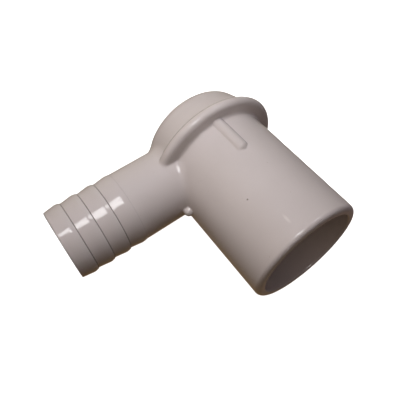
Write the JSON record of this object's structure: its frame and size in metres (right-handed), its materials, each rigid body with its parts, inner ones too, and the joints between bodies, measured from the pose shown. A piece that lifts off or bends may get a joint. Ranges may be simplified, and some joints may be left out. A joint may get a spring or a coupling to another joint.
{
  "type": "hose tail elbow",
  "caption": "Right-angle plastic plumbing elbow: a plain pipe spigot with a stop flange and closed domed end, and a ridged tail for a hose.",
  "frame": {"origin": "centre of the spigot's mouth, on the spigot's axis", "axes": "+X along the hose tail towards its tip, +Y along the spigot's axis out of its mouth, +Z square to both, through one of the two alignment ribs"},
  "size_m": [0.1028, 0.0829, 0.0602],
  "materials": {
    "moulding": "glossy off-white rigid plastic"
  },
  "bodies": {
    "root": {"elbow": "moulding"}
  },
  "joints": []
}
